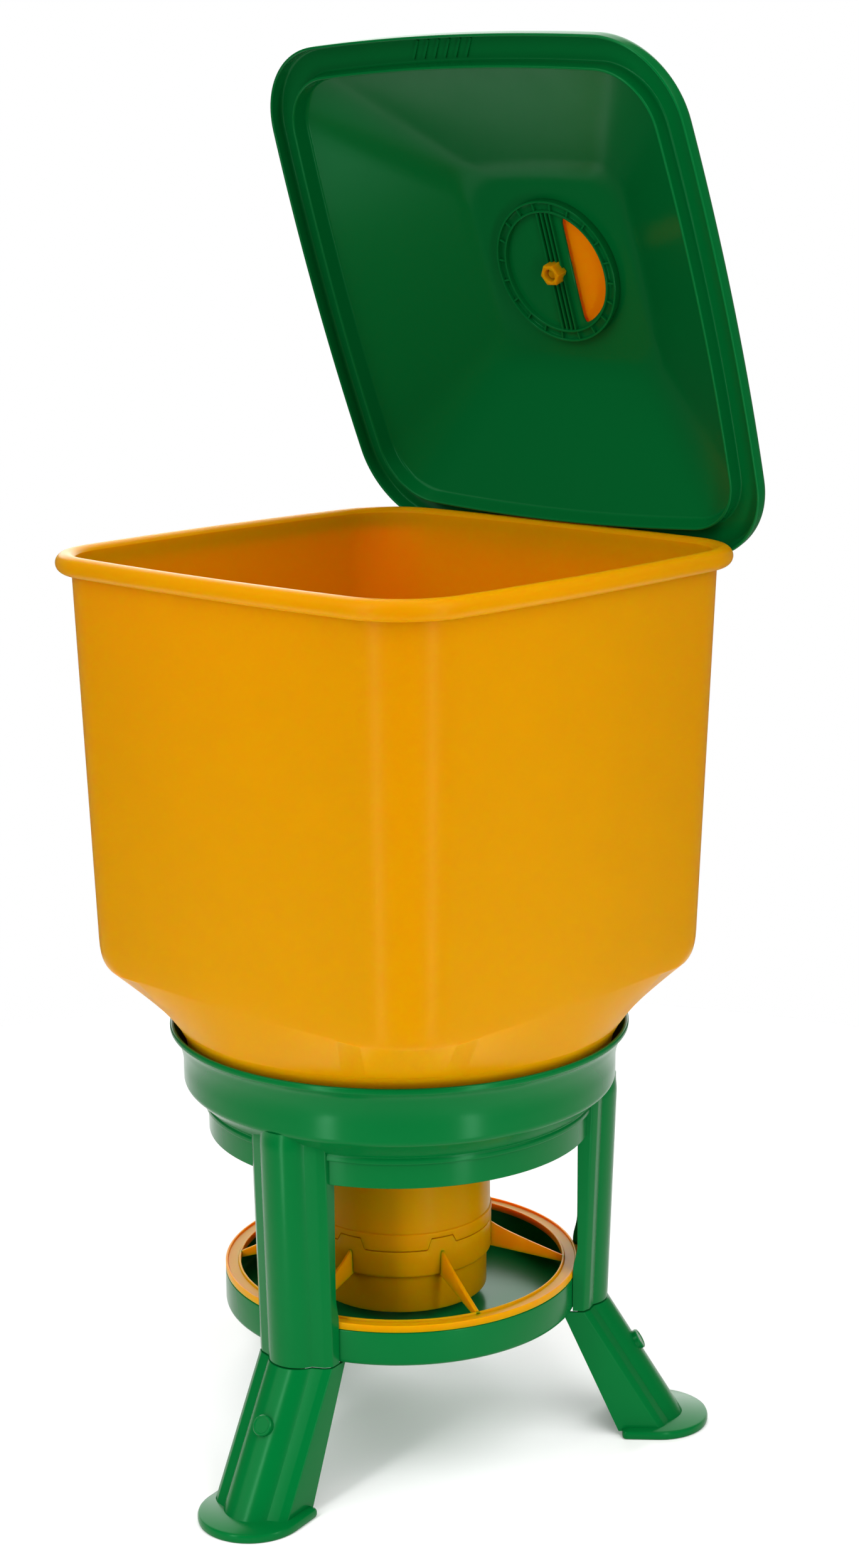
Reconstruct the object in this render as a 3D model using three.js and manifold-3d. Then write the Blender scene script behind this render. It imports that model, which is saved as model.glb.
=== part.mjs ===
// Tripod gravity feeder: a square hopper with a hinged lid, dropped into a round collar on three channel
// legs with splayed feet. Feed runs through the hopper's funnel and a stepped feed tube into a round pan
// with a spoked anti-waste grid. Millimetres, +Z up, floor at z = 0, the front (away from the hinge) at -Y.
import * as THREE from "three";
import { mergeVertices } from "three/addons/utils/BufferGeometryUtils.js";
import Module from "manifold-3d";

const wasm = await Module();
wasm.setup();

// ---------------------------------------------------------------- driving dimensions
const rimHalf = 200; // hopper rim, half side at the middle of a side
const rimCorner = 64; // corner radius of the rim's outer edge
const sideBow = 10; // how far a side bows out between its corners
const rimTop = 692.3;
const beadRadius = 7.6;
const wall = 2.8; // moulded wall of the hopper
const skin = 2.4; // moulded wall of the green parts
const gap = 0.4; // between pieces that rest on each other
const bendZ = 380; // where the square walls turn in
const bendHalf = 177.5;
const bendCorner = 40;
const baseRadius = 172; // round base of the hopper
const baseZ = 339.5;
const spigotRadius = 66.2; // outlet spigot, outside
const spigotBottom = 200;
const collarRadius = 165.7; // wide part of the collar
const collarLip = 175.5;
const collarTop = 332.5;
const collarShoulder = 287;
const ringRadius = 147.5; // narrow lower ring of the collar
const ringTop = 267;
const ringBottom = 247;
const standTurn = 39.8; // degrees from +X to the first leg
const legWidth = 66;
const legBottom = 104;
const legCrown = 161.2; // outer face of the leg's middle flute at its bottom
const legLean = 0.0345; // how far a leg runs out for each millimetre up
const fluteHalf = 19.6; // half width of the middle flute
const fluteRise = 11.2; // height of the middle flute over the ledges beside it
const ledgeHalf = 28.4;
const ledgeDrop = 14.5; // the ledge's outer edge, below the crown
const cornerDrop = 18.9; // the side wall's own corner, past a chamfer
const legInner = 137.3; // inner edge of the leg's side walls
const legHeel = 134.2; // the same edge beside the pan
const heelTop = 157;
const footSplay = 0.614; // how far a foot runs out for each millimetre down
const footHeight = 103.3;
const footInnerTop = 126;
const footInnerBottom = 172;
const soleThickness = 7;
const soleHalf = 40;
const socketHalf = 13; // collar's socket in the top of a leg
const soleCentre = 201;
const soleInner = 173;
const pinRadius = 7.8; // snap pin on the face of each foot
const pinProud = 3.4;
const pinZ = 66;
const panRadius = 137.5;
const panBottom = 103.7;
const panTop = 130.4;
const panWall = 2.6;
const gridRing = [125.5, 137.2]; // inner and outer radius of the anti-waste ring
const gridBottom = 130.8;
const gridTop = 134.8;
const tabHalf = 25.3; // tabs of the ring that reach into the legs
const tabReach = 143.5;
const hubRadius = 70;
const hubBore = 67;
const hubBottom = 144.5;
const hubTop = 179;
const toothDepths = [13, 10]; // deep and shallow steps, by turns
const toothHalf = 20; // degrees at the tooth's tip
const toothFlank = 2.5; // degrees over which a flank slopes
const tubeRadius = 69.4;
const tubeBore = 67;
const sleeveRadius = 66.4;
const sleeveBore = 64;
const sleeveBottom = 115.3;
const tubeTop = 229;
const lidHalf = 206.2; // lid skirt, half side at the middle of a side
const lidCorner = 70;
const skirtBottom = 683.9;
const lipHalf = 183.6; // lip under the lid that drops into the mouth
const lipBottom = 682.8;
const lipCorner = 49;
const plateauHalf = 82;
const plateauCorner = 30;
const plateauZ = 753;
const ventRadius = 57.5;
const ventHole = 52.6;
const windowRadius = 45;
const windowEdge = 13; // distance of the window's straight edge from the vent's centre
const railX = 5.5; // two rails beside the vent's middle channel
const capRadius = 56;
const clipX = 60; // distance of each hinge clip from the middle
const clipWidth = 24;
const lidOpening = 69.7; // degrees from closed
const roundSteps = 32; // sides of a turned piece
const yellow = { color: 0xdf9600, roughness: 0.34, metalness: 0 };
const green = { color: 0x007a3c, roughness: 0.38, metalness: 0 };

// ---------------------------------------------------------------- solids
const radians = THREE.MathUtils.degToRad;

function solid(geometry) {
  const bare = geometry.clone();
  bare.deleteAttribute("normal");
  bare.deleteAttribute("uv");
  const merged = mergeVertices(bare, 1e-3);
  return new wasm.Manifold(
    new wasm.Mesh({
      numProp: 3,
      vertProperties: new Float32Array(merged.attributes.position.array),
      triVerts: new Uint32Array(merged.index.array),
    }),
  );
}

function geometryOf(made) {
  const { vertProperties, triVerts } = made.getMesh();
  const geometry = new THREE.BufferGeometry();
  geometry.setAttribute("position", new THREE.BufferAttribute(vertProperties, 3));
  geometry.setIndex(new THREE.BufferAttribute(triVerts, 1));
  geometry.computeVertexNormals();
  return geometry;
}

// A ring turned about Z from a closed list of [radius, z], anticlockwise when radius runs right and z up.
function turned(profile) {
  const points = [...profile, profile[0]].map(([radius, z]) => new THREE.Vector2(radius, z));
  return solid(new THREE.LatheGeometry(points, roundSteps).rotateX(Math.PI / 2));
}

// A prism of a closed list of [x, y] from z = low to z = high.
function prism(outline, low, high) {
  const shape = new THREE.Shape(outline.map(([x, y]) => new THREE.Vector2(x, y)));
  const geometry = new THREE.ExtrudeGeometry(shape, { depth: high - low, bevelEnabled: false });
  return geometry.translate(0, 0, low);
}

function block(low, high) {
  const size = high.map((value, i) => value - low[i]);
  const middle = high.map((value, i) => (value + low[i]) / 2);
  return solid(new THREE.BoxGeometry(...size).translate(...middle));
}

function arc(centre, radius, from, to, steps) {
  return Array.from({ length: steps + 1 }, (_, i) => {
    const angle = radians(from + ((to - from) * i) / steps);
    return [centre[0] + radius * Math.cos(angle), centre[1] + radius * Math.sin(angle)];
  });
}

// Distance from the centre to a square outline with round corners whose sides are shallow arcs. half is at
// the middle of a side. Both kinds of arc are circles, so the ray in a direction meets them in closed form.
function squareReach(angle, half, corner, bow) {
  if (half - corner < 0.01) return half;
  const side = (half * half + bow * bow) / (2 * bow); // radius of a side's arc
  const back = side - half; // how far its centre lies behind the middle
  const reach = side - corner;
  const diagonal = (-back + Math.sqrt(2 * reach * reach - back * back)) / 2; // corner centre at (d, d)
  const turn = Math.abs(THREE.MathUtils.euclideanModulo(angle + Math.PI / 4, Math.PI / 2) - Math.PI / 4);
  const along = Math.atan2(diagonal, diagonal + back);
  const join = Math.atan2(side * Math.sin(along), side * Math.cos(along) - back);
  if (turn <= join) {
    return -back * Math.cos(turn) + Math.sqrt(side ** 2 - (back * Math.sin(turn)) ** 2);
  }
  const off = turn - Math.PI / 4;
  const far = diagonal * Math.SQRT2;
  return far * Math.cos(off) + Math.sqrt(corner ** 2 - (far * Math.sin(off)) ** 2);
}

// A ring lofted through a closed list of { half, corner, bow, z }, round where corner equals half.
// The rays crowd towards the corners, by a sine.
function lofted(profile) {
  const perOctant = 6;
  const angles = [];
  for (let octant = 0; octant < 8; octant++) {
    for (let i = 0; i < perOctant; i++) {
      const share = octant % 2 ? perOctant - i : i;
      const turn = (Math.PI / 4) * Math.sin(((Math.PI / 2) * share) / perOctant);
      const start = (Math.PI / 2) * Math.ceil(octant / 2);
      angles.push(octant % 2 ? start - turn : start + turn);
    }
  }
  const positions = [];
  for (const { half, corner, bow, z } of profile) {
    for (const angle of angles) {
      const reach = squareReach(angle, half, corner, bow);
      positions.push(reach * Math.cos(angle), reach * Math.sin(angle), z);
    }
  }
  const index = [];
  const count = angles.length;
  profile.forEach((_, row) => {
    const next = (row + 1) % profile.length;
    for (let i = 0; i < count; i++) {
      const j = (i + 1) % count;
      index.push(row * count + i, row * count + j, next * count + j);
      index.push(row * count + i, next * count + j, next * count + i);
    }
  });
  const geometry = new THREE.BufferGeometry();
  geometry.setAttribute("position", new THREE.Float32BufferAttribute(positions, 3));
  geometry.setIndex(index);
  return solid(geometry);
}

const square = (half, corner, z) => ({ half, corner, bow: sideBow * (half / rimHalf), z });
const circle = (radius, z) => ({ half: radius, corner: radius, bow: 1, z });

// ---------------------------------------------------------------- hopper
const beadHalf = rimHalf - beadRadius; // the bead's own centre line, and the lid's hinge
const beadZ = rimTop - beadRadius;

function hopper() {
  const wallTop = beadHalf - 4; // outer face of the wall under the bead
  const bead = [-115, -70, -25, 20, 65, 110, 150].map((angle) => {
    const out = beadRadius * Math.cos(radians(angle));
    const up = beadRadius * Math.sin(radians(angle));
    return square(beadHalf + out, rimCorner - beadRadius + out, beadZ + up);
  });
  return lofted([
    circle(spigotRadius - wall, spigotBottom),
    circle(spigotRadius, spigotBottom),
    circle(spigotRadius, 250.5),
    circle(160, 325),
    circle(158.6, 312),
    circle(156.2, 289.5),
    circle(159, 289.5),
    circle(161.4, 312),
    circle(165, 326),
    circle(baseRadius, baseZ),
    square(bendHalf - 2, bendCorner + 8, bendZ - 5),
    square(bendHalf, bendCorner, bendZ + 6),
    square(wallTop, rimCorner - beadRadius - 4, beadZ - 10),
    ...bead,
    square(wallTop - wall, rimCorner - beadRadius - 4 - wall, beadZ - 2),
    square(bendHalf - wall, bendCorner - wall, bendZ + 7),
    square(bendHalf - wall - 2, bendCorner + 6, bendZ - 4),
    circle(baseRadius - wall, baseZ + 2),
    circle(spigotRadius - wall, 252),
  ]);
}

// ---------------------------------------------------------------- lid and vent, drawn closed
function lid() {
  const ceiling = rimTop + 2;
  const lowSkin = plateauZ - skin;
  return lofted([
    circle(ventHole, lowSkin),
    square(plateauHalf - 2, plateauCorner, lowSkin),
    square(lipHalf - skin - 1, lipCorner, ceiling + 2),
    square(lipHalf - skin, lipCorner - 2, lipBottom),
    square(lipHalf, lipCorner, lipBottom),
    square(lipHalf, lipCorner, ceiling),
    square(lidHalf - skin - 3, lidCorner - skin - 3, ceiling),
    square(lidHalf - skin, lidCorner - skin, ceiling - 3),
    square(lidHalf - skin, lidCorner - skin, skirtBottom),
    square(lidHalf, lidCorner, skirtBottom),
    square(lidHalf, lidCorner, ceiling - 1),
    square(lidHalf - 4, lidCorner - 4, ceiling + skin),
    square(lipHalf + 3, lipCorner + 2, ceiling + skin + 1),
    square(plateauHalf, plateauCorner + 2, plateauZ),
    circle(ventHole, plateauZ),
  ]);
}

// A half moon: the part of a disc beyond a straight edge, at +X.
function halfMoon(radius, edge, low, high) {
  const reach = THREE.MathUtils.radToDeg(Math.acos(edge / radius));
  return solid(prism(arc([0, 0], radius, -reach, reach, 12), low, high));
}

function ventDisc() {
  const flange = plateauZ - skin - gap;
  const bore = 5;
  const disc = turned([
    [bore, flange - 2],
    [48, flange - 2],
    [48, flange - 6],
    [ventRadius, flange - 6],
    [ventRadius, flange],
    [ventHole - gap, flange],
    [ventHole - gap, plateauZ - 0.2],
    [bore, plateauZ - 0.2],
  ]);
  const groove = turned([
    [50, flange - 7],
    [ventRadius - 2, flange - 7],
    [ventRadius - 2, flange - 3],
    [50, flange - 3],
  ]);
  const rails = [-railX, railX].map((x) =>
    block([x - 1, -47.5, flange - 5], [x + 1, 47.5, flange - 1]),
  );
  const nutSpace = new THREE.CylinderGeometry(12, 12, 20, roundSteps).rotateX(Math.PI / 2);
  const bored = solid(nutSpace.translate(0, 0, flange - 12.2));
  return rails
    .reduce((made, rail) => made.add(rail), disc.subtract(groove))
    .subtract(bored)
    .subtract(halfMoon(windowRadius, windowEdge, flange - 8, plateauZ + 2));
}

function ventCap() {
  const under = plateauZ + gap;
  const plate = turned([
    [3, under - 13.4],
    [4.5, under - 13.4],
    [4.5, under],
    [capRadius - skin, under],
    [capRadius - skin, under + 1],
    [capRadius, under + 1],
    [capRadius, under + 3],
    [capRadius - 4, under + 5],
    [12, under + 6],
    [3, under + 6],
  ]);
  const grip = block([-3, -40, under + 4], [3, 40, under + 16]);
  const opening = halfMoon(windowRadius, windowEdge + 1, under - 2, under + 8).rotate([0, 0, 180]);
  const middle = new THREE.CylinderGeometry(8, 8, 3, roundSteps).rotateX(Math.PI / 2);
  return plate.subtract(opening).add(grip).add(solid(middle.translate(0, 0, under + 5.5)));
}

function ventNut() {
  const length = 11;
  const top = plateauZ - skin - gap - 2.4;
  const hexagon = solid(new THREE.CylinderGeometry(9, 9, length, 6).rotateX(Math.PI / 2));
  const bore = solid(new THREE.CylinderGeometry(4.9, 4.9, length + 2, 12).rotateX(Math.PI / 2));
  return hexagon.subtract(bore).translate([0, 0, top - length / 2]);
}

// A hook round the rim's bead, from the front of its top to just under its back.
function hingeClip(side) {
  const bead = [0, 0];
  const hook = [...arc(bead, 10.1, -19, 118, 10), ...arc(bead, 8.2, 118, -19, 10)];
  const geometry = prism(hook, -clipWidth / 2, clipWidth / 2)
    .rotateX(Math.PI / 2)
    .rotateZ(Math.PI / 2);
  const ceiling = block([-clipWidth, -40, rimTop + 2 - gap - beadZ], [clipWidth, 40, 40]);
  return solid(geometry)
    .subtract(ceiling)
    .translate([side * clipX, beadHalf, beadZ]);
}

// ---------------------------------------------------------------- stand
// One leg's section at its crown's radius: a channel open towards the middle, with a round middle flute, a
// sloping ledge on each side of it and a chamfer down to each side wall. Pairs are [radius, sideways].
function channel(crown, inner) {
  const flute = (half, top) => {
    const radius = (half * half + fluteRise * fluteRise) / (2 * fluteRise);
    const spread = THREE.MathUtils.radToDeg(Math.asin(half / radius));
    return arc([top - radius, 0], radius, -spread, spread, 6);
  };
  const half = legWidth / 2;
  const outside = [
    [inner, -half],
    [crown - cornerDrop, -half],
    [crown - ledgeDrop, -ledgeHalf],
    ...flute(fluteHalf, crown),
    [crown - ledgeDrop, ledgeHalf],
    [crown - cornerDrop, half],
    [inner, half],
  ];
  const inside = [
    [inner, half - skin],
    [crown - cornerDrop - skin / 2, half - skin],
    [crown - ledgeDrop - skin, ledgeHalf - skin / 2],
    ...flute(fluteHalf - skin / 2, crown - skin).reverse(),
    [crown - ledgeDrop - skin, -ledgeHalf + skin / 2],
    [crown - cornerDrop - skin / 2, -half + skin],
    [inner, -half + skin],
  ];
  return [...outside, ...inside];
}

// The channel carried from one height to another, its inner edges and its outside each on its own slope.
function sloped(low, high, outer, inner) {
  const farInside = -1000; // marks the inner edges until their own slope is applied
  const shaft = prism(channel(0, farInside), low, high);
  const position = shaft.attributes.position;
  for (let i = 0; i < position.count; i++) {
    const x = position.getX(i);
    const z = position.getZ(i);
    position.setX(i, x === farInside ? inner(z) : x + outer(z));
  }
  return solid(shaft);
}

const legRadius = (z) => legCrown + (z - legBottom) * legLean;
const footRadius = (z) => legCrown + (legBottom - z) * footSplay;
const legAngles = { front: standTurn - 120, right: standTurn, left: standTurn + 120 };

// The collar's outside, grown by some clearance: what the top of a leg is cut to.
function collarOutside(extra) {
  return [
    [ringRadius + extra, ringBottom - extra],
    [ringRadius + extra, ringTop - extra],
    [ringRadius + 1.6 + extra, ringTop - extra],
    [ringRadius + 1.6 + extra, ringTop + 4 - extra],
    [collarRadius + extra, collarShoulder - extra],
    [collarRadius + extra, collarTop - 24],
    [collarLip - 4 + extra, collarTop - 8],
    [collarLip + extra, collarTop],
  ];
}

function collar() {
  const inside = collarOutside(-skin).reverse();
  const ring = turned([...collarOutside(0), ...inside]);
  const socket = block(
    [ringRadius - 1, -socketHalf, ringBottom + 3],
    [ringRadius + 6, socketHalf, ringTop + 8],
  );
  return Object.values(legAngles).reduce((made, angle) => made.add(socket.rotate([0, 0, angle])), ring);
}

function leg() {
  const shaft = sloped(legBottom, collarShoulder - 0.5, legRadius, () => legInner);
  const heelSide = [
    [legInner + 1, heelTop],
    [legHeel, heelTop - 16],
    [legHeel, legBottom],
    [legInner + 1, legBottom],
  ];
  const heels = [-1, 1].map((side) => {
    const outer = (side * legWidth) / 2;
    const low = Math.min(outer, outer - side * skin);
    return solid(prism(heelSide, low, low + skin).rotateX(Math.PI / 2).translate(0, 2 * low + skin, 0));
  });
  const collarSpace = turned([[20, ringBottom - gap], ...collarOutside(gap), [20, collarTop]]);
  const socketSpace = block(
    [ringRadius - 2, -socketHalf - gap, ringBottom],
    [ringRadius + 6 + gap, socketHalf + gap, ringTop + 14],
  );
  return heels.reduce((made, heel) => made.add(heel), shaft).subtract(collarSpace).subtract(socketSpace);
}

function foot() {
  const innerSlope = (footInnerBottom - footInnerTop) / footHeight;
  const shaft = sloped(soleThickness - 1, footHeight, footRadius, (z) => footInnerBottom - z * innerSlope);
  const toe = arc([soleCentre, 0], soleHalf, -90, 90, 12);
  const sole = solid(prism([...toe, [soleInner, soleHalf], [soleInner, -soleHalf]], 0, soleThickness));
  const tongue = block([148.5, -12, 80], [154, 12, 126]);
  const web = block([148.5, -2, 80], [168, 2, footHeight]);
  return shaft.add(sole).add(tongue).add(web).subtract(footPin(gap));
}

// The snap pin on a foot's face, square to it, grown by some clearance.
function footPin(extra) {
  const length = 8 + extra;
  const stud = new THREE.CylinderGeometry(pinRadius + extra, pinRadius + extra, length, 16);
  stud.rotateZ(Math.PI / 2).translate(pinProud - length / 2, 0, 0).rotateY(-Math.atan(footSplay));
  return solid(stud.translate(footRadius(pinZ), 0, pinZ));
}

function feedPan() {
  const floor = panBottom + panWall;
  const dish = turned([
    [3, panBottom],
    [panRadius - 3, panBottom],
    [panRadius, panBottom + 3],
    [panRadius, panTop],
    [panRadius - panWall, panTop],
    [panRadius - panWall, floor + 4],
    [panRadius - panWall - 4, floor],
    [58, floor],
    [12, floor + 24],
    [3, floor + 24],
  ]);
  const tip = new THREE.CylinderGeometry(4, 4, 22, 16).rotateX(Math.PI / 2).translate(0, 0, floor + 12);
  const lug = block([panRadius - 3, -20, 110], [tabReach, 20, 127]);
  const whole = dish.add(solid(tip));
  return Object.values(legAngles).reduce((made, angle) => made.add(lug.rotate([0, 0, angle])), whole);
}

// The toothed joint between hub and tube, seen as a ring: teeth hang from z = top, deep and shallow by turns,
// each centred between two spokes. Positive grow makes every tooth larger on all sides.
function teeth(inner, outer, top, grow) {
  const pieces = [];
  for (let i = 0; i < 6; i++) {
    const depth = toothDepths[i % 2] + grow;
    const wide = toothHalf + toothFlank + THREE.MathUtils.radToDeg(grow / outer);
    const narrow = wide - toothFlank;
    const sector = (half) => {
      const far = outer * 1.1;
      return arc([0, 0], far, -half, half, 4).concat([[20, 0]]);
    };
    const upper = solid(prism(sector(wide), hubTop - depth / 2, top));
    const lower = solid(prism(sector(narrow), hubTop - depth, top));
    pieces.push(upper.add(lower).rotate([0, 0, standTurn - 90 + 60 * i]));
  }
  const ring = turned([
    [inner, hubTop - 20],
    [outer, hubTop - 20],
    [outer, top],
    [inner, top],
  ]);
  return pieces.reduce((made, piece) => made.add(piece)).intersect(ring);
}

function grid() {
  const [ringInner, ringOuter] = gridRing;
  const lip = 1.6;
  const ring = turned([
    [ringInner, gridBottom],
    [ringOuter, gridBottom],
    [ringOuter, gridTop + 1.4],
    [ringOuter - lip, gridTop + 1.4],
    [ringOuter - lip, gridTop],
    [ringInner + lip, gridTop],
    [ringInner + lip, gridTop + 1.4],
    [ringInner, gridTop + 1.4],
  ]);
  const hub = turned([
    [hubBore, hubBottom],
    [hubRadius, hubBottom],
    [hubRadius, hubTop],
    [hubBore, hubTop],
  ]).subtract(teeth(hubBore - 2, hubRadius + 2, hubTop + 5, gap));
  const webSide = [
    [hubRadius - 1.5, hubBottom + 0.5],
    [ringInner + 3, gridBottom + 0.4],
    [ringInner + 3, gridTop + 1.2],
    [hubRadius - 1.5, hubBottom + 16],
  ];
  const spoke = solid(prism(webSide, -1.4, 1.4).rotateX(Math.PI / 2));
  const tab = block([ringOuter - 1.5, -tabHalf, gridBottom], [tabReach, tabHalf, gridTop]);
  let made = ring.add(hub);
  for (let i = 0; i < 6; i++) made = made.add(spoke.rotate([0, 0, standTurn + 60 * i]));
  for (const angle of Object.values(legAngles)) made = made.add(tab.rotate([0, 0, angle]));
  return made;
}

function feedTube() {
  const step = hubTop + gap;
  const body = turned([
    [sleeveBore, sleeveBottom],
    [sleeveRadius, sleeveBottom],
    [sleeveRadius, step],
    [hubRadius, step],
    [hubRadius, step + 4],
    [tubeRadius, step + 5],
    [tubeRadius, tubeTop],
    [tubeBore, tubeTop],
    [tubeBore, step + 6],
    [sleeveBore, step + 2],
  ]);
  return body.add(teeth(sleeveRadius - 0.6, hubRadius, step + 1, -gap / 2));
}

// ---------------------------------------------------------------- assembly
const feeder = new THREE.Group();

function place(name, made, finish, parent = feeder) {
  const mesh = new THREE.Mesh(geometryOf(made), new THREE.MeshStandardMaterial(finish));
  mesh.name = name;
  parent.add(mesh);
  return mesh;
}

place("hopper", hopper(), yellow);
place("feed_tube", feedTube(), yellow);
place("collar", collar(), green);
place("feed_pan", feedPan(), green);
place("anti_waste_grid", grid(), yellow);
for (const [name, angle] of Object.entries(legAngles)) {
  const side = new THREE.Group();
  side.rotation.z = radians(angle);
  feeder.add(side);
  place("leg_" + name, leg(), green, side);
  place("foot_" + name, foot(), green, side);
  place("foot_pin_" + name, footPin(0), green, side);
}

// The lid turns about the middle of the bead at the back of the rim.
const hinge = new THREE.Group();
hinge.position.set(0, beadHalf, beadZ);
hinge.rotation.x = -radians(lidOpening);
feeder.add(hinge);
const closedLid = new THREE.Group();
closedLid.position.set(0, -beadHalf, -beadZ);
hinge.add(closedLid);
place("lid", lid(), green, closedLid);
place("vent_disc", ventDisc(), green, closedLid);
place("vent_cap", ventCap(), yellow, closedLid);
place("vent_nut", ventNut(), yellow, closedLid);
place("hinge_clip_left", hingeClip(-1), green, closedLid);
place("hinge_clip_right", hingeClip(1), green, closedLid);

// The origin is the middle of the footprint, on the floor.
const middle = new THREE.Box3().setFromObject(feeder, true).getCenter(new THREE.Vector3());
feeder.position.set(-middle.x, -middle.y, 0);

export default feeder;
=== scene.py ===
"""A tripod gravity feeder: the fine surfaces, plastics, floor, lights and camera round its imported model.

Shapes are worked out in millimetres, with the hopper's axis at x = y = 0 and the floor at z = 0, the lid and
its vent as they lie when the lid is shut. put_piece moves them into the frame, in metres.
"""

import math

import bmesh
import bpy
import numpy as np
from bpy.props import FloatProperty, FloatVectorProperty, PointerProperty
from mathutils import Matrix, Vector


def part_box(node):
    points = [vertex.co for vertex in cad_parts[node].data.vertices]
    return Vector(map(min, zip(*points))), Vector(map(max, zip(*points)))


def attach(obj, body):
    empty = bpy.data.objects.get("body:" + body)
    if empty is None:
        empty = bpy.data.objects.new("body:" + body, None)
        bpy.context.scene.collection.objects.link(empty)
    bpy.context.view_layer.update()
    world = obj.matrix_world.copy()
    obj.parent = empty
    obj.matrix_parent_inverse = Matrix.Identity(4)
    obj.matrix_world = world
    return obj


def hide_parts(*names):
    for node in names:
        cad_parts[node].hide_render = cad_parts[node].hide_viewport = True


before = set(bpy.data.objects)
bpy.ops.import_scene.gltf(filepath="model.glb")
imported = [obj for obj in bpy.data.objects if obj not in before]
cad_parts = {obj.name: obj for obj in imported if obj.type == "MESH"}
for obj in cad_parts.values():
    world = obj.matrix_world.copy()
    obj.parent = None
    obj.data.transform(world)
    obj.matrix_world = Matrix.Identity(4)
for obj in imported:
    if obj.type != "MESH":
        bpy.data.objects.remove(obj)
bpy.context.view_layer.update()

bl_info = {
    "name": "Tripod Feeder",
    "version": (1, 0, 0),
    "blender": (4, 5, 0),
    "location": "3D View > Sidebar > Feeder",
    "description": "Builds the surfaces and plastics of a tripod gravity feeder round its frame",
    "category": "Add Mesh",
}

MM = 0.001
HOPPER_LOW, HOPPER_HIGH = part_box("hopper")
AXIS = np.array([(HOPPER_LOW.x + HOPPER_HIGH.x) / 2, (HOPPER_LOW.y + HOPPER_HIGH.y) / 2, 0.0])
SKIN = 2.4  # moulded wall of the green pieces
LEG_NAMES = ("front", "right", "left")
FOOT_SLOPE = 0.614  # how far a foot splays out for each millimetre down


# ---------------------------------------------------------------- sizes and colours


def length(name, description, millimetres):
    """A length in metres whose default is given in millimetres."""
    return FloatProperty(
        name=name, description=description, default=millimetres * MM, min=0, precision=4, unit="LENGTH"
    )


def angle(name, description, degrees):
    """An angle whose default is given in degrees."""
    return FloatProperty(name=name, description=description, default=math.radians(degrees), subtype="ANGLE")


def hex_colour(code):
    """A colour code such as #E08F00 as its three sRGB shares."""
    return tuple(int(code[i : i + 2], 16) / 255 for i in (1, 3, 5))


def colour(name, description, text):
    """A colour whose default is an sRGB hex value."""
    return FloatVectorProperty(
        name=name, description=description, subtype="COLOR_GAMMA", default=hex_colour(text), min=0, max=1
    )


class FeederSizes(bpy.types.PropertyGroup):
    """The lengths and angles that the pieces are worked out from."""

    rim_half: length("Rim", "Half the side of the hopper's rim, at the middle of a side", 200)
    rim_corner: length("Rim corner", "Corner radius of the rim's outer edge", 64)
    rim_top: length("Rim height", "Top of the rolled rim above the floor", 692.3)
    bead_radius: length("Bead", "Radius of the rolled rim", 7.6)
    hopper_wall: length("Hopper wall", "Thickness of the hopper's wall", 2.8)
    bend_half: length("Bend", "Half the side of the hopper where its walls turn in", 177.5)
    bend_height: length("Bend height", "Height at which the hopper's walls turn in", 381)
    base_radius: length("Base", "Radius of the hopper's round base", 172)
    bend_corner: length("Bend corner", "Corner radius of the hopper where its walls turn in", 40)
    base_height: length("Base height", "Height of the top of the round base", 339.5)
    collar_radius: length("Collar", "Radius of the collar's wide part", 165.7)
    collar_lip: length("Collar lip", "Radius of the collar's flared lip", 175.5)
    collar_top: length("Collar height", "Top of the collar's lip", 332.5)
    ring_radius: length("Collar ring", "Radius of the collar's narrow lower ring", 147.5)
    leg_width: length("Leg width", "Width of a leg's channel", 66)
    leg_crown: length("Leg reach", "Radius of the leg's middle flute at the leg's bottom", 161.2)
    leg_bottom: length("Leg bottom", "Height of the joint between leg and foot", 104)
    pan_radius: length("Pan", "Outside radius of the feed pan", 137.5)
    pan_bottom: length("Pan bottom", "Underside of the pan above the floor", 103.7)
    pan_top: length("Pan lip", "Lip of the pan above the floor", 130.4)
    hub_radius: length("Hub", "Outside radius of the anti-waste grid's hub", 70)
    hub_top: length("Hub height", "Top of the hub, where the feed tube's steps rest", 179)
    tube_radius: length("Feed tube", "Outside radius of the feed tube", 69.4)
    lid_half: length("Lid", "Half the side of the lid's skirt, at the middle of a side", 206.2)
    lid_corner: length("Lid corner", "Corner radius of the lid's skirt", 70)
    plateau_height: length("Lid height", "Top of the lid when it is shut", 753)
    vent_radius: length("Vent", "Outside radius of the vent disc", 57.5)
    stand_turn: angle("Stand turn", "Direction of the first leg from the hopper's side", 39.8)
    lid_opening: angle("Lid opening", "How far the lid stands open", 69.7)


class FeederColours(bpy.types.PropertyGroup):
    """The colours of the mouldings, as the eye reads them."""

    yellow: colour("Yellow", "Hopper and grid", "#C18700")
    green: colour("Green", "Lid and stand", "#005E28")


def mm(name):
    """One of the feeder's sizes, in millimetres."""
    return getattr(bpy.context.scene.feeder_sizes, name) / MM


def degrees(name):
    """One of the feeder's angles, in degrees."""
    return math.degrees(getattr(bpy.context.scene.feeder_sizes, name))


# ---------------------------------------------------------------- outlines and surfaces


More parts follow.
